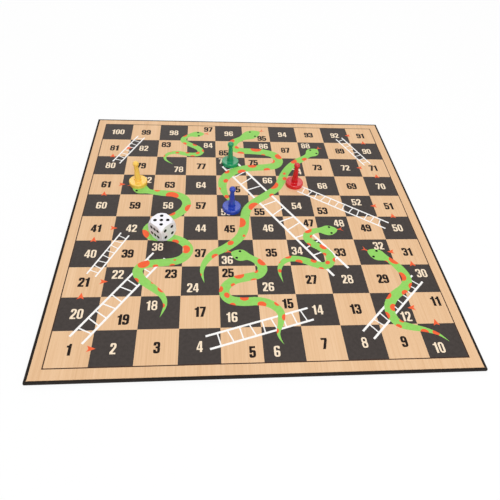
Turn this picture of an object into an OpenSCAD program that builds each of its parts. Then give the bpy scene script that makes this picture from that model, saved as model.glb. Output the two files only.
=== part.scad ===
// Snakes and ladders set: a wrapped greyboard panel with a printed face sheet, four pawns and a die.
// The origin is the middle of the underside. +X runs from square 1 to square 10 and +Y up the rows.

/* [Grid] */
// Side of one square
square_side = 28; // [22:0.5:36]
// Width of the dark line around the grid
line_w = 0.8; // [0.3:0.1:1.5]
// Bare margin of the face sheet outside that line
margin = 7.5; // [4:0.1:15]

/* [Board] */
// Black rim of cover paper that shows around the face sheet
rim = 1.5; // [0.8:0.1:4]
// Thickness of the greyboard core
core_t = 2; // [1.2:0.1:4]
// Thickness of the cover paper
wrap_t = 0.2; // [0.1:0.05:0.4]
// Width of the cover paper that is turned in over the core
turn_in = 12; // [6:1:25]
// Gap where two turn-ins meet at a mitred corner
mitre_gap = 0.2; // [0.1:0.05:0.5]
// Radius of the wrapped edges
edge_r = 0.4; // [0.3:0.05:0.6]
// Thickness of the face sheet
sheet_t = 0.3; // [0.2:0.05:0.6]

/* [Print] */
// Depth that the print takes in the face sheet
ink_t = 0.1; // [0.05:0.01:0.15]
// Hairline of bare sheet between dark squares that meet at a corner
hairline = 0.1; // [0.06:0.02:0.4]
// Length of a turn arrow
arrow_l = 5.8; // [3:0.2:8]
// Width of a turn arrow across its barbs
arrow_w = 4.8; // [2:0.2:7]
// Radius of a snake's eye
eye_r = 1.1; // [0.5:0.1:1.4]
// Length of a snake's forked tongue
tongue_l = 5; // [3:0.2:7]

/* [Pawns] */
// Height of a pawn
pawn_h = 24; // [20:0.5:32]
// Diameter of a pawn's base
base_d = 16; // [12:0.5:20]
// Height of a pawn's base
base_h = 3.6; // [2.6:0.1:6]
// Radius of the base's top edge
base_edge = 0.9; // [0.4:0.1:1.1]
// Depth of the dish in the base's top
dish = 0.5; // [0.2:0.1:0.8]
// Diameter of the ball at the top
ball_d = 5.4; // [4.4:0.2:7]
// Diameter of the stem under the ball
neck_d = 3.1; // [2.8:0.1:4]
// Diameter of the stem at the base
stem_d = 5.9; // [4.2:0.1:7]
// Radius of the fillet where the stem meets the base
foot_r = 0.8; // [0.4:0.1:1.2]
// Wall of the moulding, which is hollow underneath
wall = 1.2; // [0.8:0.1:1.4]

/* [Die] */
// Side of the die
die_side = 15.5; // [12:0.5:20]
// Diameter of the ball that rounds off the die's corners
die_ball_d = 22.6; // [17:0.2:30]
// Radius of the die's edges
die_edge_r = 1.2; // [0.6:0.1:2]
// Diameter of a pip
pip_d = 2.9; // [2:0.1:3.2]
// Distance of an outer pip from the middle of its face
pip_pitch = 3.5; // [3.2:0.1:4.2]
// Depth of a pip's recess
pip_depth = 0.5; // [0.3:0.05:1]
// How far the paint in a pip lies below the die's face
paint_gap = 0.1; // [0.05:0.05:0.25]
// Turn of the die on the board
die_turn = 226; // [0:1:359]

/* [Hidden] */
$fn = 48;
squares = 10;
grid = squares * square_side;
sheet_side = grid + 2 * margin;
board_side = sheet_side + 2 * rim;
core_side = board_side - 2 * wrap_t;
wrap_h = core_t + wrap_t;
top = wrap_h + sheet_t;
cut = 1;

// Each ladder: foot square, foot offset, head square, head offset, gauge, rail width and rungs.
// Offsets, gauges and widths are in squares, and an offset is from the middle of its square.
// A rung is where it crosses the middle of the ladder and how far ahead its left end is, as shares
// of the ladder's length.
ladders = [
    [1, [0.11, 0.24], 38, [-0.14, -0.09], 0.38, 0.058,
        [[0.095, -0.014], [0.189, 0.014], [0.27, 0.01], [0.362, -0.016], [0.452, 0.016], [0.563, -0.016],
         [0.641, 0.012], [0.73, -0.012], [0.81, 0.006], [0.905, 0.012]]],
    [4, [0.19, 0.09], 14, [-0.2, -0.13], 0.37, 0.056,
        [[0.105, 0.006], [0.212, -0.02], [0.314, 0.008], [0.422, -0.02], [0.528, 0.018], [0.631, -0.014],
         [0.732, 0.012], [0.834, 0], [0.93, -0.016]]],
    [8, [0.15, 0.2], 30, [-0.02, -0.02], 0.32, 0.056,
        [[0.105, 0.016], [0.201, -0.008], [0.299, 0.02], [0.394, -0.012], [0.489, 0.02], [0.587, 0.016],
         [0.686, 0], [0.768, 0.012], [0.849, -0.012], [0.93, -0.008]]],
    [21, [0.14, 0.22], 42, [-0.16, -0.25], 0.26, 0.044,
        [[0.084, 0], [0.186, 0.02], [0.31, -0.018], [0.43, 0.018], [0.55, -0.006], [0.67, 0.02],
         [0.795, -0.02], [0.918, 0.02]]],
    [28, [-0.12, 0.25], 76, [-0.05, 0.13], 0.54, 0.07,
        [[0.074, -0.012], [0.151, 0.012], [0.218, -0.008], [0.295, 0.012], [0.373, -0.012],
         [0.435, 0.008], [0.509, -0.02], [0.588, 0.006], [0.667, -0.012], [0.74, 0.01], [0.815, -0.02],
         [0.885, -0.016], [0.952, 0.01]]],
    [50, [-0.3, 0.09], 67, [0.21, -0.17], 0.3, 0.05,
        [[0.084, -0.016], [0.161, 0.008], [0.231, 0], [0.321, -0.014], [0.4, 0.006], [0.485, -0.014],
         [0.56, 0.006], [0.643, -0.012], [0.721, 0.012], [0.804, -0.012], [0.875, 0.012],
         [0.951, -0.016]]],
    [71, [-0.16, 0.2], 92, [0.13, -0.21], 0.26, 0.046,
        [[0.078, 0], [0.194, -0.019], [0.325, 0], [0.437, 0.019], [0.56, 0], [0.682, -0.019], [0.799, 0],
         [0.923, -0.019]]],
    [80, [0.16, 0.16], 99, [-0.15, -0.3], 0.26, 0.046,
        [[0.092, -0.02], [0.201, 0.02], [0.321, 0], [0.443, 0.02], [0.574, -0.02], [0.69, 0.02],
         [0.813, 0], [0.926, -0.02]]],
];
// Share of a rail's width that a rung takes.
rung_share = 0.6;

// Each snake: head square, tail square, head length, head width, body width, route and spots.
// The route runs from the nose to the tip of the tail. A spot is its middle and its radius.
// All of it is in squares, from the grid's lower left corner.
snakes = [
    [32, 10, 0.63, 0.43, 0.27,
        [[8.32, 3.55], [8.6, 3.37], [8.85, 3.19], [9.08, 2.87], [9.18, 2.5], [9.03, 2.18], [8.68, 1.92],
         [8.45, 1.62], [8.4, 1.3], [8.52, 1.03], [8.8, 0.91], [9.15, 0.82], [9.45, 0.68], [9.66, 0.46]],
        [[9, 3.16, 0.12], [8.76, 3.1, 0.05], [9.06, 2.56, 0.12], [9.24, 2.22, 0.09], [8.98, 2, 0.08],
         [8.46, 1.92, 0.11], [8.52, 1.52, 0.09], [8.28, 1.28, 0.08], [8.62, 1.1, 0.05], [8.5, 0.94, 0.06],
         [9.12, 0.76, 0.08], [9.4, 0.72, 0.07]]],
    [36, 6, 0.58, 0.43, 0.27,
        [[4.36, 3.51], [4.6, 3.41], [4.85, 3.32], [5.08, 3.16], [5.2, 2.92], [5.08, 2.69], [4.78, 2.6],
         [4.42, 2.5], [4.18, 2.3], [4.13, 2.05], [4.27, 1.85], [4.6, 1.78], [5, 1.79], [5.33, 1.68],
         [5.54, 1.42], [5.51, 1.12], [5.42, 0.85], [5.44, 0.66], [5.52, 0.49]],
        [[5.2, 3.14, 0.11], [5.02, 2.8, 0.05], [4.54, 2.66, 0.11], [4.94, 2.47, 0.08], [4.36, 2.34, 0.05],
         [4.02, 2.2, 0.08], [4.19, 2, 0.07], [4.64, 1.9, 0.09], [4.33, 1.69, 0.06], [5.08, 1.69, 0.09],
         [5.47, 1.7, 0.06], [5.63, 1.27, 0.08], [5.37, 0.88, 0.06]]],
    [48, 26, 0.6, 0.41, 0.26,
        [[7.6, 4.43], [7.3, 4.39], [6.98, 4.39], [6.72, 4.28], [6.63, 4.08], [6.73, 3.86], [6.98, 3.65],
         [7.16, 3.38], [7.14, 3.12], [6.96, 2.98], [6.7, 3.05], [6.4, 3.19], [6.1, 3.26], [5.85, 3.18],
         [5.7, 2.98], [5.66, 2.72], [5.72, 2.4]],
        [[6.69, 4.38, 0.1], [6.76, 4.13, 0.05], [6.63, 3.8, 0.06], [7.04, 3.71, 0.09], [7.03, 3.42, 0.05],
         [7.06, 3.1, 0.06], [7.28, 3.2, 0.06], [6.84, 2.87, 0.06], [6.67, 3.17, 0.07], [6.25, 3.14, 0.08],
         [5.96, 3.34, 0.08], [5.68, 3.13, 0.04], [5.67, 2.81, 0.05]]],
    [62, 18, 0.62, 0.45, 0.27,
        [[1.34, 6.42], [1.62, 6.27], [1.92, 6.14], [2.3, 6.08], [2.65, 6.03], [2.95, 5.87], [3.06, 5.58],
         [2.95, 5.26], [2.65, 4.98], [2.22, 4.76], [1.97, 4.5], [2, 4.24], [2.22, 4.11], [2.55, 4.11],
         [2.86, 4.03], [3.1, 3.82], [3.16, 3.57], [3.02, 3.31], [2.75, 3.18], [2.3, 3.13], [1.96, 3.06],
         [1.83, 2.85], [1.95, 2.57], [2.3, 2.25], [2.54, 2], [2.62, 1.7], [2.51, 1.34]],
        [[2.12, 6.22, 0.07], [2.6, 5.97, 0.16], [3.14, 5.37, 0.13], [2.64, 5.12, 0.08], [1.88, 4.25, 0.14],
         [2.79, 3.94, 0.08], [3.26, 3.89, 0.05], [3.09, 3.64, 0.12], [2.8, 3.24, 0.03], [2.74, 3.04, 0.06],
         [2.29, 3.02, 0.06], [1.97, 3.1, 0.13], [1.82, 2.53, 0.07], [2.26, 2.45, 0.04], [2.51, 2.23, 0.1],
         [2.57, 1.7, 0.05]]],
    [88, 24, 0.6, 0.45, 0.28,
        [[7.67, 8.58], [7.43, 8.34], [7.13, 8.05], [6.8, 7.79], [6.51, 7.46], [6.28, 7.06], [6.13, 6.68],
         [5.94, 6.34], [5.6, 6.02], [5.2, 5.68], [4.93, 5.34], [4.83, 4.95], [4.77, 4.45], [4.6, 4.06],
         [4.25, 3.72], [3.86, 3.46], [3.63, 3.15], [3.54, 2.8], [3.61, 2.41]],
        [[7.12, 7.96, 0.08], [6.72, 7.82, 0.1], [6.3, 7.13, 0.05], [6.28, 6.86, 0.07], [5.87, 6.5, 0.15],
         [5.76, 6, 0.07], [5.14, 5.46, 0.15], [4.69, 4.73, 0.16], [4.76, 4.17, 0.04], [4.36, 3.88, 0.08],
         [3.9, 3.37, 0.08], [3.5, 2.7, 0.04]]],
    [95, 56, 0.88, 0.52, 0.34,
        [[5.66, 9.66], [5.32, 9.45], [4.95, 9.18], [4.68, 8.96], [4.6, 8.74], [4.68, 8.54], [4.9, 8.42],
         [5.25, 8.4], [5.68, 8.35], [6.04, 8.19], [6.17, 7.88], [6.05, 7.6], [5.73, 7.48], [5.3, 7.44],
         [4.85, 7.35], [4.5, 7.15], [4.27, 6.85], [4.19, 6.5], [4.25, 6.12], [4.36, 5.8], [4.55, 5.52]],
        [[4.6, 9.02, 0.09], [4.76, 8.63, 0.07], [4.88, 8.27, 0.1], [5.44, 8.53, 0.15], [5.67, 8.18, 0.06],
         [6.21, 8.1, 0.12], [5.96, 7.82, 0.09], [5.73, 7.34, 0.09], [5.24, 7.56, 0.12], [4.86, 7.22, 0.11],
         [4.36, 7.2, 0.08], [4.31, 6.72, 0.08], [4.09, 6.31, 0.05], [4.31, 5.92, 0.07]]],
    [97, 78, 0.58, 0.34, 0.22,
        [[3.6, 9.45], [3.34, 9.42], [3.07, 9.34], [2.88, 9.16], [2.88, 8.96], [3.08, 8.77], [3.36, 8.57],
         [3.48, 8.38], [3.43, 8.23], [3.27, 8.16], [3, 8.18], [2.66, 8.27], [2.4, 8.21], [2.26, 8.02],
         [2.31, 7.81], [2.55, 7.59]],
        [[2.89, 9.33, 0.08], [2.91, 8.82, 0.06], [3.27, 8.76, 0.07], [3.38, 8.26, 0.06], [3.58, 8.4, 0.06],
         [3.2, 8.06, 0.06], [3.02, 8.27, 0.05], [2.67, 8.26, 0.05], [2.43, 8.33, 0.05], [2.21, 8.06, 0.05]]],
];
// Steps in each stretch of a route, and in the first two, which the head needs finer.
route_steps = 4;
head_steps = 12;
// How blunt the nose is. Then where the head is widest and the eyes are, as shares of its length,
// and how far out the eyes sit, as a share of its width.
nose_power = 0.65;
widest = 0.5;
eye_back = 0.37;
eye_out = 0.31;
// Neck width as a share of the body's, and in squares the stretch where the body swells and the tail.
neck_share = 0.78;
swell = 0.45;
tail_l = 1.8;
tail_power = 1.8;
// How much longer than wide a spot is.
spot_stretch = 1.3;
// Where a turn arrow's notch ends behind its middle, as a share of its length, and how far an
// arrow up into the next row sits above the line, in squares.
notch = 0.29;
arrow_rise = 0.04;

// Each pawn's square and its offset from the middle of that square, in squares.
yellow_place = [62, [0, 0.06]];
red_place = [67, [0.06, 0.065]];
green_place = [76, [-0.015, 0.18]];
blue_place = [56, [-0.055, -0.15]];
die_place = [43, [-0.087, -0.25]];

function ladder_name(l) = str("ladder_", l[0], "_to_", l[2]);
function snake_name(s) = str("snake_", s[0], "_to_", s[1]);

// Numbers run left to right on the first row, right to left on the next, and so on.
function row_of(n) = floor((n - 1) / squares);
function step_of(n) = (n - 1) % squares;
function column_of(n) = row_of(n) % 2 == 0 ? step_of(n) : squares - 1 - step_of(n);
function middle_of(n) = [column_of(n) + 0.5, row_of(n) + 0.5];
function on_board(p) = (p - [squares / 2, squares / 2]) * square_side;
function place_of(spot) = on_board(middle_of(spot[0]) + spot[1]);

// A smooth curve through a route's points, with the distance from its start at each step.
function through(a, b, c, d, t) =
    (2 * b + (c - a) * t + (2 * a - 5 * b + 4 * c - d) * t ^ 2 + (3 * b - a - 3 * c + d) * t ^ 3) / 2;
function steps_in(i) = i < 2 ? head_steps : route_steps;
function curve(p) = concat(
    [for (i = [0 : len(p) - 2]) for (k = [0 : steps_in(i) - 1])
        through(p[max(i - 1, 0)], p[i], p[i + 1], p[min(i + 2, len(p) - 1)], k / steps_in(i))],
    [p[len(p) - 1]]
);
function distances(c) =
    [for (i = 0, d = 0; i < len(c); i = i + 1, d = i < len(c) ? d + norm(c[i] - c[i - 1]) : d) d];
function unit(v) = v / norm(v);
function along(c, i) = unit(c[min(i + 1, len(c) - 1)] - c[max(i - 1, 0)]);
function across(c, i) = [-along(c, i).y, along(c, i).x];
function nearest(c, p) = let (gaps = [for (q = c) norm(q - p)]) search(min(gaps), gaps)[0];

// Half the width of a snake at a distance from its nose: round head, neck, body and tapered tail.
function ease(from, to, share) = to + (from - to) * (1 + cos(180 * share)) / 2;
function half_width(s, d, whole) =
    let (head = s[2], crown = widest * s[2], body = s[4] / 2, neck = neck_share * s[4] / 2)
    let (left = whole - d)
    d < crown ? s[3] / 2 * sin(90 * d / crown) ^ nose_power :
    d < head ? ease(s[3] / 2, neck, (d - crown) / (head - crown)) :
    d < head + swell ? ease(neck, body, (d - head) / swell) :
    left > tail_l ? body : body * (1 - (1 - left / tail_l) ^ tail_power);
function snake_outline(s) =
    let (c = curve(s[5]), d = distances(c), whole = d[len(d) - 1])
    let (half = [for (i = [0 : len(c) - 1]) across(c, i) * half_width(s, d[i], whole)])
    concat(
        [for (i = [0 : len(c) - 1]) c[i] + half[i]],
        [for (i = [len(c) - 2 : -1 : 1]) c[i] - half[i]]
    );
function facing(s) = unit(s[5][0] - s[5][1]);

module snake_shape(s) {
    polygon([for (p = snake_outline(s)) on_board(p)]);
}

// Each spot is drawn out along the body where it lies.
module spot_shapes(s) {
    route = curve(s[5]);
    intersection() {
        snake_shape(s);
        for (spot = s[6]) {
            middle = [spot.x, spot.y];
            body = along(route, nearest(route, middle));
            translate(on_board(middle))
                rotate(atan2(body.y, body.x))
                    scale([spot_stretch, 1])
                        circle(spot.z * square_side);
        }
    }
}

module eye_shapes(s) {
    out = [-facing(s).y, facing(s).x] * eye_out * s[3];
    for (side = [-1, 1])
        translate(on_board(s[5][0] - facing(s) * eye_back * s[2] + side * out))
            circle(eye_r);
}

module tongue_shape(s) {
    root = tongue_l / 4;
    stalk = tongue_l / 10;
    fork = tongue_l / 2;
    difference() {
        translate(on_board(s[5][0]))
            rotate(atan2(facing(s).y, facing(s).x))
                polygon([[-root, -stalk], [fork - stalk, -stalk], [tongue_l, -fork], [fork + stalk, 0],
                         [tongue_l, fork], [fork - stalk, stalk], [-root, stalk]]);
        snake_shape(s);
    }
}

module ladder_shape(l) {
    foot = on_board(middle_of(l[0]) + l[1]);
    run = on_board(middle_of(l[2]) + l[3]) - foot;
    gauge = l[4] * square_side;
    rail = l[5] * square_side;
    rung_w = rail * rung_share;
    translate(foot)
        rotate(atan2(run.y, run.x)) {
            for (side = [-1, 1])
                translate([0, (side * gauge - rail) / 2])
                    square([norm(run), rail]);
            for (rung = l[6]) {
                x = norm(run) * rung[0];
                ahead = norm(run) * rung[1] / 2;
                polygon([[x - ahead - rung_w / 2, -gauge / 2], [x - ahead + rung_w / 2, -gauge / 2],
                         [x + ahead + rung_w / 2, gauge / 2], [x + ahead - rung_w / 2, gauge / 2]]);
            }
        }
}

// A notched dart that points along +X.
module arrow_shape() {
    polygon([[arrow_l / 2, 0], [arrow_l / 10, arrow_w / 5], [-arrow_l / 2, arrow_w / 2],
             [-arrow_l * notch, 0], [-arrow_l / 2, -arrow_w / 2], [arrow_l / 10, -arrow_w / 5]]);
}

// One arrow along each row after its first square, and one up into the next row after its last.
module arrow_shapes() {
    for (row = [0 : squares - 1]) {
        first = middle_of(row * squares + 1);
        second = middle_of(row * squares + 2);
        translate(on_board((first + second) / 2))
            rotate(second.x > first.x ? 0 : 180)
                arrow_shape();
    }
    for (row = [1 : squares - 1])
        translate(on_board(middle_of(row * squares) + [0, 0.5 + arrow_rise]))
            rotate(90)
                arrow_shape();
}

module square_shapes() {
    difference() {
        for (row = [0 : squares - 1])
            for (column = [1 - row % 2 : 2 : squares - 1])
                translate(on_board([column + 0.5, row + 0.5]))
                    square(square_side - hairline, center = true);
        frame_shape();
    }
}

// The line runs just inside the edge of the grid, over the outer squares.
module frame_shape() {
    difference() {
        square(grid, center = true);
        square(grid - 2 * line_w, center = true);
    }
}

module all_ladders() {
    for (l = ladders)
        ladder_shape(l);
}

module all_snakes() {
    for (s = snakes) {
        snake_shape(s);
        tongue_shape(s);
    }
}

// Gives a printed shape its depth, level with the top of the face sheet.
module printed() {
    translate([0, 0, top - ink_t])
        linear_extrude(ink_t)
            children();
}

// A square slab with its long edges rounded, as a folded sheet leaves them.
module soft_slab(side, height, radius) {
    intersection() {
        for (turn = [0, 90])
            rotate(turn)
                rotate([90, 0, 0])
                    translate([0, 0, -side / 2])
                        linear_extrude(side)
                            rounded_bar(side, height, radius);
    }
}

module rounded_bar(width, height, radius) {
    translate([-width / 2 + radius, 0])
        square([width - 2 * radius, height]);
    translate([-width / 2, radius])
        square([width, height - 2 * radius]);
    for (x = [-1, 1], y = [radius, height - radius])
        translate([x * (width / 2 - radius), y])
            circle(radius);
}

module block(side, height) {
    translate([-side / 2, -side / 2, 0])
        cube([side, side, height]);
}

// The core is pressed in under the turn-ins, so that the face sheet lies flat across both.
module greyboard_core() {
    color("tan")
        difference() {
            translate([0, 0, wrap_t])
                block(core_side, core_t);
            translate([0, 0, wrap_h - wrap_t])
                difference() {
                    block(board_side, wrap_t + cut);
                    translate([0, 0, -cut])
                        block(board_side - 2 * turn_in, wrap_t + 3 * cut);
                }
        }
}

module cover_paper() {
    reach = turn_in * sqrt(2);
    color("black")
        difference() {
            soft_slab(board_side, wrap_h, edge_r);
            translate([0, 0, wrap_t])
                block(core_side, core_t - wrap_t);
            translate([0, 0, wrap_t])
                block(board_side - 2 * turn_in, wrap_h);
            // each mitre runs through the turn-ins and just over the corner of the board
            for (turn = [45 : 90 : 315])
                rotate(turn)
                    translate([board_side / sqrt(2) - reach - cut, -mitre_gap / 2, core_t - mitre_gap])
                        cube([reach + 2 * cut, mitre_gap, wrap_t + mitre_gap + cut]);
        }
}

module face_sheet() {
    color("burlywood")
        difference() {
            translate([0, 0, wrap_h])
                block(sheet_side, sheet_t);
            translate([0, 0, top - ink_t])
                linear_extrude(ink_t + cut) {
                    frame_shape();
                    square_shapes();
                    arrow_shapes();
                    all_ladders();
                    all_snakes();
                }
        }
}

module frame_line() {
    color("saddlebrown")
        printed()
            frame_shape();
}

module dark_squares() {
    color("dimgray")
        printed()
            difference() {
                square_shapes();
                arrow_shapes();
                all_ladders();
                all_snakes();
            }
}

module turn_arrows() {
    color("tomato")
        printed()
            difference() {
                arrow_shapes();
                all_ladders();
                all_snakes();
            }
}

module ladder(l) {
    color("white")
        printed()
            difference() {
                ladder_shape(l);
                all_snakes();
            }
}

module snake(s) {
    color("yellowgreen")
        printed()
            difference() {
                snake_shape(s);
                spot_shapes(s);
                eye_shapes(s);
                for (other = snakes)
                    tongue_shape(other);
            }
}

module snake_spots() {
    color("orangered")
        printed()
            for (s = snakes)
                spot_shapes(s);
}

module snake_eyes() {
    color("black")
        printed()
            for (s = snakes)
                eye_shapes(s);
}

module snake_tongues() {
    color("orangered")
        printed()
            for (s = snakes)
                tongue_shape(s);
}

// Half of a pawn's section: dished base, tapered stem and ball, on the right of the axis.
module pawn_section() {
    base_r = base_d / 2;
    floor_z = base_h - dish;
    dish_rim = base_r - base_edge;
    dish_r = (dish_rim ^ 2 + dish ^ 2) / (2 * dish);
    ball_z = pawn_h - ball_d / 2;
    core_top = ball_z - ball_d / 2;
    intersection() {
        square([base_r, pawn_h]);
        difference() {
            union() {
                difference() {
                    union() {
                        square([base_r, base_h - base_edge]);
                        square([dish_rim, base_h]);
                        translate([dish_rim, base_h - base_edge])
                            circle(base_edge);
                    }
                    translate([0, floor_z + dish_r])
                        circle(dish_r, $fn = 180);
                }
                polygon([[0, wall], [stem_d / 2, wall], [stem_d / 2, floor_z],
                         [neck_d / 2, ball_z], [0, ball_z]]);
                translate([stem_d / 2 - foot_r / 4, floor_z - foot_r / 4])
                    difference() {
                        square(foot_r * 1.25);
                        translate([foot_r * 1.25, foot_r * 1.25])
                            circle(foot_r);
                    }
                translate([0, ball_z])
                    circle(ball_d / 2);
            }
            polygon([[-cut, -cut], [base_r - wall, -cut], [base_r - wall, floor_z - wall],
                     [neck_d / 2, floor_z - wall], [neck_d / 4, core_top], [-cut, core_top]]);
        }
    }
}

module pawn(place) {
    translate([each place_of(place), top])
        rotate_extrude($fn = 96)
            pawn_section();
}

module pawn_yellow() {
    color("gold")
        pawn(yellow_place);
}

module pawn_green() {
    color("seagreen")
        pawn(green_place);
}

module pawn_blue() {
    color("mediumblue")
        pawn(blue_place);
}

module pawn_red() {
    color("firebrick")
        pawn(red_place);
}

// Pips of each face as steps of pip_pitch, drawn on a face that looks along +Z.
// The two rows of the six are a little closer together.
six_row = 0.89;
corners = [[-1, -1], [-1, 1], [1, -1], [1, 1]];
one = [[0, 0]];
two = [[-1, -1], [1, 1]];
three = concat(one, two);
four = corners;
five = concat(one, corners);
six = [for (row = [-1, 1], step = [-1 : 1]) [row * six_row, step]];
// Turn that brings each face's pips from +Z to their side. Opposite faces add up to seven.
faces = [[five, [0, 0, 0]], [two, [180, 0, 0]], [six, [0, 90, 0]], [one, [0, -90, 0]],
         [four, [-90, 0, 0]], [three, [90, 0, 0]]];

module on_each_pip() {
    for (face = faces)
        rotate(face[1])
            for (p = face[0])
                translate([p.x * pip_pitch, p.y * pip_pitch, die_side / 2 - pip_depth])
                    children();
}

module die_at_rest() {
    translate([each place_of(die_place), top + die_side / 2])
        rotate(die_turn)
            children();
}

module rounded_square(side, radius) {
    translate([0, -side / 2])
        rounded_bar(side, side, radius);
}

module die_body() {
    color("white")
        die_at_rest()
            difference() {
                intersection() {
                    for (turn = [[0, 0, 0], [90, 0, 0], [0, 90, 0]])
                        rotate(turn)
                            translate([0, 0, -die_side / 2])
                                linear_extrude(die_side)
                                    rounded_square(die_side, die_edge_r);
                    sphere(d = die_ball_d);
                }
                on_each_pip()
                    cylinder(d = pip_d, h = pip_depth + cut);
            }
}

module die_pips() {
    color("black")
        die_at_rest()
            on_each_pip()
                cylinder(d = pip_d, h = pip_depth - paint_gap);
}

greyboard_core();
cover_paper();
face_sheet();
frame_line();
dark_squares();
turn_arrows();
for (l = ladders)
    ladder(l);
for (s = snakes)
    snake(s);
snake_spots();
snake_eyes();
snake_tongues();
pawn_yellow();
pawn_green();
pawn_blue();
pawn_red();
die_body();
die_pips();
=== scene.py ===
import math

import bpy
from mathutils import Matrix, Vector


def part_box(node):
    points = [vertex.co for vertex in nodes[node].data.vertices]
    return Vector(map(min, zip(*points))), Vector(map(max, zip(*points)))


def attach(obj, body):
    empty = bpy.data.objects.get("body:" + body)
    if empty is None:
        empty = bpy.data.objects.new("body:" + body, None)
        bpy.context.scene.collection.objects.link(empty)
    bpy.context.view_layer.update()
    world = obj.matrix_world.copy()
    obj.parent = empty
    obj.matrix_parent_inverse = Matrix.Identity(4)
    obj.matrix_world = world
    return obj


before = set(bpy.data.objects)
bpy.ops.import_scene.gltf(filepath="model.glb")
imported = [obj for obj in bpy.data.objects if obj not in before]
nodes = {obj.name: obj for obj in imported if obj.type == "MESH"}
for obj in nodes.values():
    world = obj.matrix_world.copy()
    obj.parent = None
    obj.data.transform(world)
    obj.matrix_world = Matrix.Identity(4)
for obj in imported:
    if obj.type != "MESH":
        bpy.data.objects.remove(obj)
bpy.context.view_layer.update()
bpy.ops.object.select_all(action="DESELECT")
print("frame loaded:", len(nodes), "nodes")

millimetre = 0.001
sheetLow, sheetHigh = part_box("face_sheet")
gridLow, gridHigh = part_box("frame_line")
boardLow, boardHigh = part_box("cover_paper")
squaresAcross = 10
squareSide = (gridHigh.x - gridLow.x) / squaresAcross
faceHeight = sheetHigh.z


def tone(red, green, blue):
    # screen colour, 0 to 255, as the linear value that a shader takes
    linear = []
    for channel in (red, green, blue):
        share = channel / 255
        linear.append(share / 12.92 if share <= 0.04045 else ((share + 0.055) / 1.055) ** 2.4)
    return (*linear, 1.0)


class Wire:
    # one shader socket, with maths written as plain expressions
    def __init__(self, tree, socket=None):
        self.tree = tree
        self.socket = socket

    def add(self, kind, settings=None, inputs=None, output=0):
        node = self.tree.nodes.new(kind)
        for name, value in (settings or {}).items():
            if name == "stops":
                self.setStops(node.color_ramp, value)
            else:
                setattr(node, name, value)
        for name, value in (inputs or {}).items():
            if isinstance(value, Wire):
                self.tree.links.new(value.socket, node.inputs[name])
            else:
                node.inputs[name].default_value = value
        return Wire(self.tree, node.outputs[output])

    def setStops(self, ramp, stops):
        while len(ramp.elements) < len(stops):
            ramp.elements.new(1.0)
        for element, (place, colour) in zip(ramp.elements, stops):
            element.position = place
            element.color = colour

    def math(self, operation, first, second):
        return self.add("ShaderNodeMath", {"operation": operation}, {0: first, 1: second})

    def __add__(self, other):
        return self.math("ADD", self, other)

    def __radd__(self, other):
        return self.math("ADD", other, self)

    def __sub__(self, other):
        return self.math("SUBTRACT", self, other)

    def __rsub__(self, other):
        return self.math("SUBTRACT", other, self)

    def __mul__(self, other):
        return self.math("MULTIPLY", self, other)

    def __rmul__(self, other):
        return self.math("MULTIPLY", other, self)


def newFinish(name):
    finish = bpy.data.materials.new(name)
    finish.use_nodes = True
    return finish, Wire(finish.node_tree), finish.node_tree.nodes["Principled BSDF"]


def feed(shader, name, wire):
    wire.tree.links.new(wire.socket, shader.inputs[name])


def setValues(shader, **values):
    for name, value in values.items():
        shader.inputs[name.replace("_", " ")].default_value = value


def objectPlace(wire):
    return wire.add("ShaderNodeTexCoord", output="Object")


def noise(wire, place, perMetre, detail, roughness):
    inputs = {"Vector": place, "Scale": perMetre}
    stretched = wire.add("ShaderNodeMapping", {"vector_type": "POINT"}, inputs)
    inputs = {"Vector": stretched, "Scale": 1.0, "Detail": detail, "Roughness": roughness}
    return wire.add("ShaderNodeTexNoise", {"noise_dimensions": "3D"}, inputs)


def ramp(wire, value, stops):
    return wire.add("ShaderNodeValToRGB", {"stops": stops}, {"Fac": value})


def mixColour(wire, share, first, second):
    # inputs 6 and 7 and output 2 are the node's colour sockets
    settings = {"data_type": "RGBA", "blend_type": "MIX"}
    return wire.add("ShaderNodeMix", settings, {0: share, 6: first, 7: second}, output=2)


def stretch(wire, value, low, high):
    # takes low to high onto 0 to 1 and holds it there
    settings = {"interpolation_type": "SMOOTHSTEP"}
    inputs = {"Value": value, "From Min": low, "From Max": high}
    return wire.add("ShaderNodeMapRange", settings, inputs)


def bump(wire, height, strength, distance):
    inputs = {"Height": height, "Strength": strength, "Distance": distance}
    return wire.add("ShaderNodeBump", None, inputs)


# a grain is its cells per metre along X, Y and Z, its detail and its roughness
woodPrint = {
    "pale": (239, 201, 161),
    "middle": (232, 191, 149),
    "deep": (222, 179, 136),
    "pore": (196, 148, 106),
    "streaks": ((760, 9, 1), 3.0, 0.6),
    "fine": ((2400, 34, 1), 2.0, 0.6),
    "bands": ((70, 2.5, 1), 2.0, 0.5),
    "pores": ((5200, 300, 1), 1.0, 0.5),
    "shares": (0.45, 0.3, 0.25),  # of streaks, fine and bands
    "stops": (0.36, 0.5, 0.64),  # where it is deep, middle and pale
    "poreRange": (0.66, 0.78),
    "poreShare": 0.5,
    "roughness": 0.55,
}
# the tooth of the sheet, under its wood print and its inks alike
sheetSkin = {
    "fibre": ((3000, 3000, 3000), 2.0, 0.5),
    "swing": 0.16,  # how much the roughness varies
    "bump": 0.12,
    "relief": 0.04 * millimetre,
    "shine": 0.12,
}


def giveSkin(wire, shader, place, roughness, skin):
    fibre = noise(wire, place, *skin["fibre"])
    feed(shader, "Roughness", roughness + (fibre - 0.5) * skin["swing"])
    feed(shader, "Normal", bump(wire, fibre, skin["bump"], skin["relief"]))
    setValues(shader, Specular_IOR_Level=skin["shine"])


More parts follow.
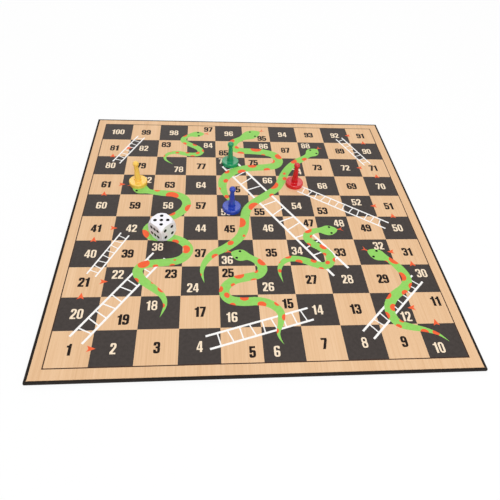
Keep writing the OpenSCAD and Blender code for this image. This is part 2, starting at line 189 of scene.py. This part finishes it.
def makeWoodPrint():
    settings = woodPrint
    finish, wire, shader = newFinish("woodPrint")
    place = objectPlace(wire)
    streaks = noise(wire, place, *settings["streaks"])
    fine = noise(wire, place, *settings["fine"])
    bands = noise(wire, place, *settings["bands"])
    streakShare, fineShare, bandShare = settings["shares"]
    grain = streaks * streakShare + fine * fineShare + bands * bandShare
    colours = [tone(*settings[name]) for name in ("deep", "middle", "pale")]
    ground = ramp(wire, grain, list(zip(settings["stops"], colours)))
    pores = stretch(wire, noise(wire, place, *settings["pores"]), *settings["poreRange"])
    colour = mixColour(wire, pores * settings["poreShare"], ground, tone(*settings["pore"]))
    feed(shader, "Base Color", colour)
    giveSkin(wire, shader, place, settings["roughness"], sheetSkin)
    return finish


inks = {
    "charcoalInk": {"colour": (69, 62, 59), "shade": (61, 55, 52)},
    "brownInk": {"colour": (64, 42, 32), "shade": (54, 35, 27)},
    "orangeInk": {"colour": (247, 104, 60), "shade": (240, 95, 52)},
    "whiteInk": {"colour": (254, 252, 250), "shade": (250, 248, 244)},
    "greenInk": {"colour": (150, 214, 104), "shade": (143, 207, 96)},
    "blackInk": {"colour": (16, 14, 13), "shade": (10, 9, 9)},
    "creamInk": {"colour": (253, 233, 206), "shade": (248, 226, 196)},
    "umberInk": {"colour": (26, 15, 9), "shade": (18, 10, 6)},
}
inkGrain = {
    "mottle": ((420, 420, 420), 3.0, 0.5),
    "dots": ((2400, 2400, 2400), 1.0, 0.5),
    "mottleShare": 0.6,
    "dotShare": 0.4,
    "range": (0.36, 0.62),
    "roughness": 0.52,
}


def makeInk(name):
    settings = inks[name]
    finish, wire, shader = newFinish(name)
    place = objectPlace(wire)
    mottle = noise(wire, place, *inkGrain["mottle"])
    dots = noise(wire, place, *inkGrain["dots"])
    grain = mottle * inkGrain["mottleShare"] + dots * inkGrain["dotShare"]
    cover = stretch(wire, grain, *inkGrain["range"])
    colour = mixColour(wire, cover, tone(*settings["shade"]), tone(*settings["colour"]))
    feed(shader, "Base Color", colour)
    giveSkin(wire, shader, place, inkGrain["roughness"], sheetSkin)
    return finish


coverPaper = {
    "colour": (43, 38, 35),
    "worn": (74, 68, 64),
    "scuffs": ((260, 260, 260), 4.0, 0.65),
    "scuffRange": (0.54, 0.74),
    "scuffShare": 0.4,
    "wornBand": 0.9 * millimetre,  # how far in from the outer edge the scuffs reach
    "roughness": 0.6,
}
coverSkin = {
    "fibre": ((1800, 1800, 1800), 3.0, 0.5),
    "swing": 0.2,
    "bump": 0.25,
    "relief": 0.06 * millimetre,
    "shine": 0.03,
}


def makeCoverPaper():
    settings = coverPaper
    finish, wire, shader = newFinish("coverPaper")
    place = objectPlace(wire)
    scuffs = noise(wire, place, *settings["scuffs"])
    alongX = wire.add("ShaderNodeSeparateXYZ", None, {"Vector": place})
    alongY = Wire(wire.tree, alongX.socket.node.outputs["Y"])
    acrossX = wire.math("ABSOLUTE", alongX, 0.0)
    acrossY = wire.math("ABSOLUTE", alongY, 0.0)
    outward = wire.math("MAXIMUM", acrossX, acrossY)
    edge = stretch(wire, outward, boardHigh.x - settings["wornBand"], boardHigh.x)
    worn = edge * stretch(wire, scuffs, *settings["scuffRange"]) * settings["scuffShare"]
    colour = mixColour(wire, worn, tone(*settings["colour"]), tone(*settings["worn"]))
    feed(shader, "Base Color", colour)
    giveSkin(wire, shader, place, settings["roughness"], coverSkin)
    return finish


greyboard = {
    "dark": (124, 116, 106),
    "pale": (160, 152, 140),
    "flecks": ((900, 900, 2500), 4.0, 0.7),
    "stops": (0.35, 0.65),  # where it is dark and pale
    "roughness": 0.8,
    "swing": 0.15,
    "bump": 0.4,
    "relief": 0.1 * millimetre,
}


def makeGreyboard():
    settings = greyboard
    finish, wire, shader = newFinish("greyboard")
    flecks = noise(wire, objectPlace(wire), *settings["flecks"])
    colours = [tone(*settings[name]) for name in ("dark", "pale")]
    feed(shader, "Base Color", ramp(wire, flecks, list(zip(settings["stops"], colours))))
    feed(shader, "Roughness", settings["roughness"] + flecks * settings["swing"])
    feed(shader, "Normal", bump(wire, flecks, settings["bump"], settings["relief"]))
    return finish


# through is the share of light that passes on inside the plastic
plastics = {
    "yellowPlastic": {
        "colour": (255, 209, 98), "deep": (255, 203, 90), "roughness": 0.16, "through": 0.2,
    },
    "greenPlastic": {"colour": (28, 152, 101), "deep": (23, 145, 94), "roughness": 0.14},
    "bluePlastic": {"colour": (42, 71, 182), "deep": (38, 65, 175), "roughness": 0.14},
    "redPlastic": {"colour": (214, 28, 36), "deep": (207, 24, 32), "roughness": 0.14},
    "whitePlastic": {"colour": (243, 241, 247), "deep": (239, 237, 244), "roughness": 0.2},
    "blackPaint": {"colour": (8, 8, 8), "deep": (5, 5, 5), "roughness": 0.5, "shine": 0.08},
}
plasticGrain = {
    "swirl": ((130, 130, 130), 3.0, 0.5),
    "swirlRange": (0.35, 0.65),
    "smear": ((520, 520, 180), 3.0, 0.6),
    "swing": 0.1,
    "skin": ((2600, 2600, 2600), 2.0, 0.5),
    "bump": 0.03,
    "relief": 0.02 * millimetre,
    "bend": 1.49,
    "shine": 0.5,
    "throughDepth": (1.0, 0.45, 0.15),  # deepest in red
    "throughScale": 2 * millimetre,
}


def makePlastic(name):
    settings, grain = plastics[name], plasticGrain
    finish, wire, shader = newFinish(name)
    place = objectPlace(wire)
    swirl = noise(wire, place, *grain["swirl"])
    smear = noise(wire, place, *grain["smear"])
    skin = noise(wire, place, *grain["skin"])
    share = stretch(wire, swirl, *grain["swirlRange"])
    colour = mixColour(wire, share, tone(*settings["deep"]), tone(*settings["colour"]))
    feed(shader, "Base Color", colour)
    feed(shader, "Roughness", settings["roughness"] + (smear - 0.5) * grain["swing"])
    feed(shader, "Normal", bump(wire, skin, grain["bump"], grain["relief"]))
    setValues(
        shader,
        IOR=grain["bend"],
        Specular_IOR_Level=settings.get("shine", grain["shine"]),
        Subsurface_Weight=settings.get("through", 0.0),
        Subsurface_Radius=grain["throughDepth"],
        Subsurface_Scale=grain["throughScale"],
    )
    return finish


finishes = {
    "woodPrint": makeWoodPrint(),
    "coverPaper": makeCoverPaper(),
    "greyboard": makeGreyboard(),
}
for inkName in inks:
    finishes[inkName] = makeInk(inkName)
for plasticName in plastics:
    finishes[plasticName] = makePlastic(plasticName)
print("finishes made:", len(finishes))

nodeFinishes = {
    "greyboard_core": "greyboard",
    "cover_paper": "coverPaper",
    "face_sheet": "woodPrint",
    "frame_line": "brownInk",
    "dark_squares": "charcoalInk",
    "turn_arrows": "orangeInk",
    "snake_spots": "orangeInk",
    "snake_tongues": "orangeInk",
    "snake_eyes": "blackInk",
    "pawn_yellow": "yellowPlastic",
    "pawn_green": "greenPlastic",
    "pawn_blue": "bluePlastic",
    "pawn_red": "redPlastic",
    "die_body": "whitePlastic",
    "die_pips": "blackPaint",
}
familyFinishes = {"ladder": "whiteInk", "snake": "greenInk"}


def setFinish(piece, finishName):
    piece.data.materials.clear()
    piece.data.materials.append(finishes[finishName])


for nodeName, node in nodes.items():
    setFinish(node, nodeFinishes.get(nodeName) or familyFinishes[nodeName.split("_")[0]])
print("printed and moulded nodes dressed")

# heavy narrow digits, one tall: each corner is x, y and the radius that rounds it
digitStyle = {
    "widths": {
        "0": 0.49, "1": 0.4, "2": 0.47, "3": 0.49, "4": 0.5,
        "5": 0.49, "6": 0.5, "7": 0.47, "8": 0.5, "9": 0.5,
    },
    "stem": 0.18,
    "thin": 0.16,  # stem of the eight
    "waist": 0.08,  # and how far it is drawn in at the middle
    "bar": 0.15,
    "bowl": 0.25,
    "counter": 0.07,
    "gap": 0.055,
    "height": 0.3 * squareSide,
    "depth": 0.02 * millimetre,
    "arcSteps": 5,
}


def digitLoops(digit):
    wide, stem, bar = digitStyle["widths"][digit], digitStyle["stem"], digitStyle["bar"]
    bowl, counter = digitStyle["bowl"], digitStyle["counter"]
    inner = wide - stem
    thin, waist = digitStyle["thin"], digitStyle["waist"]

    def window(left, low, right, high):
        corners = ((left, low), (right, low), (right, high), (left, high))
        return [(x, y, counter) for x, y in corners]

    sixBowl = 0.58
    six = [
        (0, 0, bowl), (wide, 0, bowl), (wide, sixBowl, 0.2), (stem, sixBowl, 0.02),
        (stem, 1 - bar, counter), (inner, 1 - bar, counter), (inner, 0.73, 0), (wide, 0.73, 0),
        (wide, 1, bowl), (0, 1, bowl),
    ]
    sixWindow = window(stem, bar, inner, sixBowl - bar)

    def turned(loop):
        return [(wide - x, 1 - y, radius) for x, y, radius in loop]

    return {
        "0": [
            window(stem, bar, inner, 1 - bar),
            [(0, 0, bowl), (wide, 0, bowl), (wide, 1, bowl), (0, 1, bowl)],
        ],
        "1": [[
            (0.16, 0, 0), (0.36, 0, 0), (0.36, 1, 0), (0.22, 1, 0.02), (0.17, 0.86, 0.08),
            (0.03, 0.84, 0), (0.03, 0.71, 0), (0.16, 0.71, 0),
        ]],
        "2": [[
            (0, 0, 0), (wide, 0, 0), (wide, bar, 0), (0.22, bar, 0.03), (wide, 0.6, 0.2),
            (wide, 1, bowl), (0, 1, bowl), (0, 0.68, 0), (stem, 0.68, 0), (stem, 1 - bar, counter),
            (inner, 1 - bar, counter), (inner, 0.64, 0.12), (0, 0.2, 0.06),
        ]],
        "3": [[
            (0, 0.7, 0), (stem, 0.7, 0), (stem, 1 - bar, counter), (inner, 1 - bar, counter),
            (inner, 0.585, 0.06), (0.17, 0.585, 0), (0.17, 0.445, 0), (inner, 0.445, 0.06),
            (inner, bar, counter), (stem, bar, counter), (stem, 0.31, 0), (0, 0.31, 0), (0, 0, bowl),
            (wide, 0, bowl), (wide, 0.48, 0.12), (wide - 0.07, 0.52, 0.03), (wide, 0.57, 0.12),
            (wide, 1, bowl), (0, 1, bowl),
        ]],
        "4": [
            [(0.13, 0.34, 0), (0.26, 0.34, 0), (0.26, 0.72, 0)],
            [
                (0.26, 0, 0), (0.44, 0, 0), (0.44, 0.195, 0), (wide, 0.195, 0), (wide, 0.34, 0),
                (0.44, 0.34, 0), (0.44, 1, 0), (0.23, 1, 0), (0, 0.36, 0), (0, 0.195, 0),
                (0.26, 0.195, 0),
            ],
        ],
        "5": [[
            (0, 0.29, 0), (stem, 0.29, 0), (stem, bar, counter), (inner, bar, counter),
            (inner, 0.49, counter), (stem, 0.49, 0.05), (stem, 0.42, 0), (0.02, 0.42, 0), (0.02, 1, 0),
            (wide - 0.03, 1, 0), (wide - 0.03, 1 - bar, 0), (stem, 1 - bar, 0), (stem, 0.64, 0.03),
            (wide, 0.64, 0.2), (wide, 0, bowl), (0, 0, bowl),
        ]],
        "6": [sixWindow, six],
        "7": [[
            (0.06, 0, 0), (0.26, 0, 0), (wide, 0.8, 0.2), (wide, 1, 0), (0, 1, 0),
            (0, 1 - bar, 0), (0.29, 1 - bar, 0.02),
        ]],
        "8": [
            window(thin, bar, wide - thin, 0.43),
            window(thin, 0.61, wide - thin, 1 - bar),
            [
                (0, 0, bowl), (wide, 0, bowl), (wide, 0.47, 0.16), (wide - waist, 0.525, 0.02),
                (wide - 0.02, 0.58, 0.16), (wide - 0.02, 1, bowl), (0.02, 1, bowl), (0.02, 0.58, 0.16),
                (waist, 0.525, 0.02), (0, 0.47, 0.16),
            ],
        ],
        "9": [turned(sixWindow), turned(six)],
    }[digit]


def roundedLoop(corners):
    # each corner becomes a curve between two points on its sides
    points = []
    for index, (x, y, radius) in enumerate(corners):
        corner = Vector((x, y))
        before = Vector(corners[index - 1][:2]) - corner
        after = Vector(corners[(index + 1) % len(corners)][:2]) - corner
        if radius == 0:
            points.append(corner)
            continue
        between = before.angle(after)
        reach = min(radius / math.tan(between / 2), before.length * 0.5, after.length * 0.5)
        start = corner + before.normalized() * reach
        end = corner + after.normalized() * reach
        for step in range(digitStyle["arcSteps"] + 1):
            share = step / digitStyle["arcSteps"]
            near, far = (1 - share) ** 2, share ** 2
            points.append(start * near + corner * 2 * share * (1 - share) + end * far)
    return points


def makeDigit(digit, weight):
    outline = bpy.data.curves.new("digit" + digit, "CURVE")
    outline.dimensions = "2D"
    outline.offset = weight
    outline.fill_mode = "BOTH"
    outline.extrude = digitStyle["depth"] / digitStyle["height"] / 2
    for loop in digitLoops(digit):
        points = roundedLoop(loop)
        spline = outline.splines.new("POLY")
        spline.points.add(len(points) - 1)
        for point, place in zip(spline.points, points):
            point.co = (place.x, place.y, 0, 1)
        spline.use_cyclic_u = True
    piece = bpy.data.objects.new("digit" + digit, outline)
    bpy.context.collection.objects.link(piece)
    bpy.ops.object.select_all(action="DESELECT")
    piece.select_set(True)
    bpy.context.view_layer.objects.active = piece
    bpy.ops.object.convert(target="MESH")
    return bpy.context.view_layer.objects.active


# where a number is moved aside for a figure, in squares from its square's lower left corner
numberPlaces = {
    5: (0.74, 0.31), 6: (0.325, 0.31), 10: (0.325, 0.3), 11: (0.73, 0.7), 12: (0.77, 0.23),
    15: (0.75, 0.7), 16: (0.29, 0.31), 18: (0.29, 0.71), 19: (0.63, 0.3), 22: (0.33, 0.74),
    23: (0.72, 0.745), 24: (0.31, 0.26), 25: (0.245, 0.755), 26: (0.3, 0.26), 30: (0.66, 0.675),
    32: (0.7, 0.74), 34: (0.25, 0.56), 36: (0.24, 0.225), 38: (0.3, 0.74), 45: (0.35, 0.46),
    47: (0.76, 0.71), 48: (0.7, 0.7), 52: (0.475, 0.675), 53: (0.29, 0.26), 55: (0.3, 0.21),
    56: (0.27, 0.2), 62: (0.75, 0.73), 65: (0.6, 0.28), 66: (0.69, 0.75), 74: (0.75, 0.25),
    75: (0.29, 0.73), 76: (0.25, 0.8), 78: (0.75, 0.31), 83: (0.26, 0.73), 84: (0.74, 0.72),
    85: (0.275, 0.28), 86: (0.725, 0.72), 88: (0.275, 0.78), 95: (0.71, 0.22), 97: (0.75, 0.75),
}
numberDefault = (0.5, 0.49)


def squareCorner(number):
    row, step = divmod(number - 1, squaresAcross)
    column = step if row % 2 == 0 else squaresAcross - 1 - step
    return column, row


def setNumber(number, digits):
    column, row = squareCorner(number)
    middle = numberPlaces.get(number, numberDefault)
    height, widths = digitStyle["height"], digitStyle["widths"]
    marks = str(number)
    width = sum(widths[mark] for mark in marks) + digitStyle["gap"] * (len(marks) - 1)
    x = gridLow.x + (column + middle[0]) * squareSide - width * height / 2
    y = gridLow.y + (row + middle[1]) * squareSide - height / 2
    copies = []
    for mark in marks:
        copy = digits[mark].copy()
        copy.data = digits[mark].data.copy()
        copy.location = (x, y, faceHeight + digitStyle["depth"] / 2)
        copy.scale = (height, height, height)
        bpy.context.collection.objects.link(copy)
        copies.append(copy)
        x += (widths[mark] + digitStyle["gap"]) * height
    return copies


def joinPieces(pieces, name):
    bpy.ops.object.select_all(action="DESELECT")
    for piece in pieces:
        piece.select_set(True)
    bpy.context.view_layer.objects.active = pieces[0]
    bpy.ops.object.join()
    joined = bpy.context.view_layer.objects.active
    joined.name = name
    bpy.ops.object.transform_apply(location=True, rotation=True, scale=True)
    return joined


# parity tells light squares from dark, and weight thickens or thins the strokes
numberSets = {
    "numbers_on_light_squares": {
        "parity": 0, "weight": 0.018, "finish": "umberInk", "slot": "brown_ink",
    },
    "numbers_on_dark_squares": {
        "parity": 1, "weight": -0.008, "finish": "creamInk", "slot": "white_ink",
    },
}


def printNumbers(name):
    settings = numberSets[name]
    digits = {mark: makeDigit(mark, settings["weight"]) for mark in digitStyle["widths"]}
    pieces = []
    for number in range(1, squaresAcross ** 2 + 1):
        if sum(squareCorner(number)) % 2 == settings["parity"]:
            pieces.extend(setNumber(number, digits))
    numbers = joinPieces(pieces, name)
    setFinish(numbers, settings["finish"])
    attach(numbers, "board")
    for digit in digits.values():
        bpy.data.objects.remove(digit)


for setName in numberSets:
    printNumbers(setName)
print("numbers printed")

edgeLine = {"width": 0.5 * millimetre, "depth": 0.02 * millimetre}


def makeEdgeLine():
    # at the back and the sides the black rim is a little wider than the sheet leaves bare
    settings = edgeLine
    middle, sides = (sheetLow + sheetHigh) / 2, sheetHigh - sheetLow
    bpy.ops.object.select_all(action="DESELECT")
    bpy.ops.mesh.primitive_plane_add(size=1, location=(middle.x, middle.y, faceHeight))
    line = bpy.context.view_layer.objects.active
    line.name = "edge_line"
    line.scale = (sides.x, sides.y, 1)
    bpy.ops.object.transform_apply(location=True, rotation=True, scale=True)
    bpy.ops.object.mode_set(mode="EDIT")
    bpy.ops.mesh.select_all(action="SELECT")
    bpy.ops.mesh.inset(thickness=settings["width"])
    bpy.ops.object.mode_set(mode="OBJECT")
    for face in line.data.polygons:  # the inner face is selected, and the front strip goes with it
        if face.center.y < sheetLow.y + settings["width"]:
            face.select = True
    bpy.ops.object.mode_set(mode="EDIT")
    bpy.ops.mesh.delete(type="FACE")
    bpy.ops.mesh.select_all(action="SELECT")
    bpy.ops.mesh.extrude_region_move(TRANSFORM_OT_translate={"value": (0, 0, settings["depth"])})
    bpy.ops.mesh.select_all(action="SELECT")
    bpy.ops.mesh.normals_make_consistent(inside=False)
    bpy.ops.object.mode_set(mode="OBJECT")
    setFinish(line, "coverPaper")
    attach(line, "board")


makeEdgeLine()
print("edge lined")

pipPaint = {"node": "die_pips", "weld": 0.001 * millimetre, "swell": 0.14 * millimetre}


def makePipPaint():
    # the painted pips again, swollen so that the paint fills each recess to just over the face
    settings = pipPaint
    paint = nodes[settings["node"]].copy()
    paint.data = nodes[settings["node"]].data.copy()
    paint.name = "pip_paint"
    bpy.context.collection.objects.link(paint)
    bpy.ops.object.select_all(action="DESELECT")
    paint.select_set(True)
    bpy.context.view_layer.objects.active = paint
    bpy.ops.object.mode_set(mode="EDIT")
    bpy.ops.mesh.select_all(action="SELECT")
    bpy.ops.mesh.remove_doubles(threshold=settings["weld"])
    bpy.ops.mesh.normals_make_consistent(inside=False)
    bpy.ops.object.mode_set(mode="OBJECT")
    swell = paint.modifiers.new("swell", "DISPLACE")
    swell.strength = settings["swell"]
    swell.mid_level = 0.0
    bpy.ops.object.modifier_apply(modifier=swell.name)
    setFinish(paint, "blackPaint")
    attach(paint, "die")


makePipPaint()
print("pips painted")

studio = {
    "floorSide": 8.0,
    "floorColour": (254, 254, 254),
    "floorRoughness": 0.9,
    "floorGap": 0.2 * millimetre,
    "floorGlow": 0.86,  # share of the floor that stays white whatever falls on it
    "floorFade": (0.5, 2.2),  # how far out it begins and ends to fade to plain white
    "white": (1, 1, 1, 1),
    "ambient": 0.46,
    "lamps": {
        "keyLamp": {"place": (0.1, -0.25, 1.6), "size": 0.7, "power": 8.2},
        "frontLamp": {"place": (0.4, -1.5, 0.8), "size": 1.4, "power": 11.0},
        "backLamp": {"place": (-0.1, 1.25, 1.05), "size": 1.3, "power": 5.5},
    },
}


def seenAsWhite(wire):
    # the camera, reflections and clear pieces all find the same white
    seen = wire.add("ShaderNodeLightPath", output="Is Camera Ray")
    outputs = seen.socket.node.outputs
    for name in ("Is Glossy Ray", "Is Transmission Ray"):
        seen = wire.math("MAXIMUM", seen, Wire(wire.tree, outputs[name]))
    return seen


def makeFloor():
    place = (0, 0, boardLow.z - studio["floorGap"])
    bpy.ops.object.select_all(action="DESELECT")
    bpy.ops.mesh.primitive_plane_add(size=studio["floorSide"], location=place)
    floor = bpy.context.view_layer.objects.active
    floor.name = "floor"
    finish, wire, shader = newFinish("studioFloor")
    setValues(shader, Base_Color=tone(*studio["floorColour"]), Roughness=studio["floorRoughness"])
    setValues(shader, Specular_IOR_Level=0.0)
    matte = Wire(wire.tree, shader.outputs[0])
    glow = wire.add("ShaderNodeEmission", None, {"Color": studio["white"], "Strength": 1.0})
    inputs = {0: objectPlace(wire)}
    away = wire.add("ShaderNodeVectorMath", {"operation": "LENGTH"}, inputs, output="Value")
    fade = stretch(wire, away, *studio["floorFade"])
    share = seenAsWhite(wire) * (studio["floorGlow"] + fade * (1 - studio["floorGlow"]))
    lit = wire.add("ShaderNodeMixShader", None, {0: share, 1: matte, 2: glow})
    # clear from below, so that the board's underside can be seen
    fromBelow = wire.add("ShaderNodeNewGeometry", output="Backfacing")
    clear = wire.add("ShaderNodeBsdfTransparent")
    oneSided = wire.add("ShaderNodeMixShader", None, {0: fromBelow, 1: lit, 2: clear})
    output = finish.node_tree.nodes["Material Output"]
    finish.node_tree.links.new(oneSided.socket, output.inputs["Surface"])
    floor.data.materials.append(finish)


def makeWorld():
    world = bpy.data.worlds.new("studioWorld")
    world.use_nodes = True
    bpy.context.scene.world = world
    wire = Wire(world.node_tree)
    background = world.node_tree.nodes["Background"]
    background.inputs["Color"].default_value = studio["white"]
    strength = studio["ambient"] + seenAsWhite(wire) * (1 - studio["ambient"])
    world.node_tree.links.new(strength.socket, background.inputs["Strength"])


def makeLamps():
    for name, settings in studio["lamps"].items():
        bpy.ops.object.light_add(type="AREA", location=settings["place"])
        lamp = bpy.context.view_layer.objects.active
        lamp.name = name
        lamp.data.shape = "DISK"
        lamp.data.size = settings["size"]
        lamp.data.energy = settings["power"]
        lamp.rotation_euler = (-Vector(settings["place"])).to_track_quat("-Z", "Y").to_euler()


camera = {
    "place": (-0.0365, -0.2896, 0.2708),
    "turn": (43.15, -3.61, -3.82),
    "lens": 33.31,
    "sensor": 36,
    "clipStart": 0.01,
}


def makeCamera():
    turn = [math.radians(angle) for angle in camera["turn"]]
    bpy.ops.object.camera_add(location=camera["place"], rotation=turn)
    view = bpy.context.view_layer.objects.active
    view.name = "photoCamera"
    view.data.sensor_fit = "HORIZONTAL"
    view.data.sensor_width = camera["sensor"]
    view.data.lens = camera["lens"]
    view.data.clip_start = camera["clipStart"]
    bpy.context.scene.camera = view


makeFloor()
makeWorld()
makeLamps()
makeCamera()
bpy.context.scene.view_settings.view_transform = "Standard"
print("studio set")
